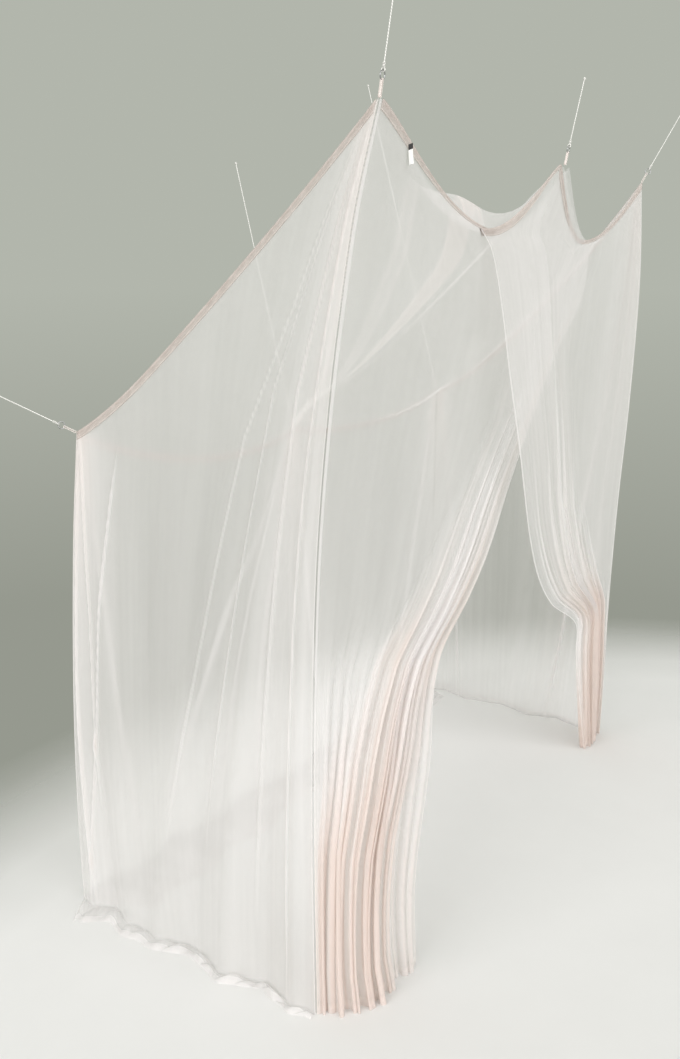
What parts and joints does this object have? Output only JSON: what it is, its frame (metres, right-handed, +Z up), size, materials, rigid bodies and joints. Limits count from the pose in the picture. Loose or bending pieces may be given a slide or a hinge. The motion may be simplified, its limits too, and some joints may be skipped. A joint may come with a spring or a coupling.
{
  "type": "mosquito net canopy",
  "caption": "Sheer box-shaped mosquito net for a single bed, hung from cords, with a bound roof, plain walls, and one side of two overlapping flaps drawn apart.",
  "frame": {"origin": "on the floor, under the middle of the net without its cords", "axes": "+Z up, +X towards the open right side, +Y towards the head end of the bed"},
  "size_m": [1.463, 2.4816, 2.784],
  "materials": {
    "net": "sheer fine woven net, soft",
    "tape": "woven cotton tape, matte",
    "cord": "twisted white cord, matte",
    "steel": "plain steel ring, satin",
    "label": "plain woven label, bare"
  },
  "bodies": {
    "root": {"roof": "net", "foot_wall": "net", "left_wall": "net", "head_wall": "net", "foot_flap": "net", "head_flap": "net", "binding_foot": "tape", "binding_left": "tape", "binding_right": "tape", "binding_head": "tape", "label": "label", "tape_loop_foot_left": "tape", "ring_foot_left": "steel", "tie_foot_left": "cord", "cord_foot_left": "cord", "cord_knot_foot_left": "cord", "tape_loop_foot_right": "tape", "ring_foot_right": "steel", "tie_foot_right": "cord", "cord_foot_right": "cord", "cord_knot_foot_right": "cord", "tape_loop_middle_left": "tape", "ring_middle_left": "steel", "tie_middle_left": "cord", "cord_middle_left": "cord", "cord_knot_middle_left": "cord", "tape_loop_middle_right": "tape", "ring_middle_right": "steel", "tie_middle_right": "cord", "cord_middle_right": "cord", "cord_knot_middle_right": "cord", "tape_loop_head_left": "tape", "ring_head_left": "steel", "tie_head_left": "cord", "cord_head_left": "cord", "cord_knot_head_left": "cord", "tape_loop_head_right": "tape", "ring_head_right": "steel", "tie_head_right": "cord", "cord_head_right": "cord", "cord_knot_head_right": "cord"}
  },
  "joints": []
}
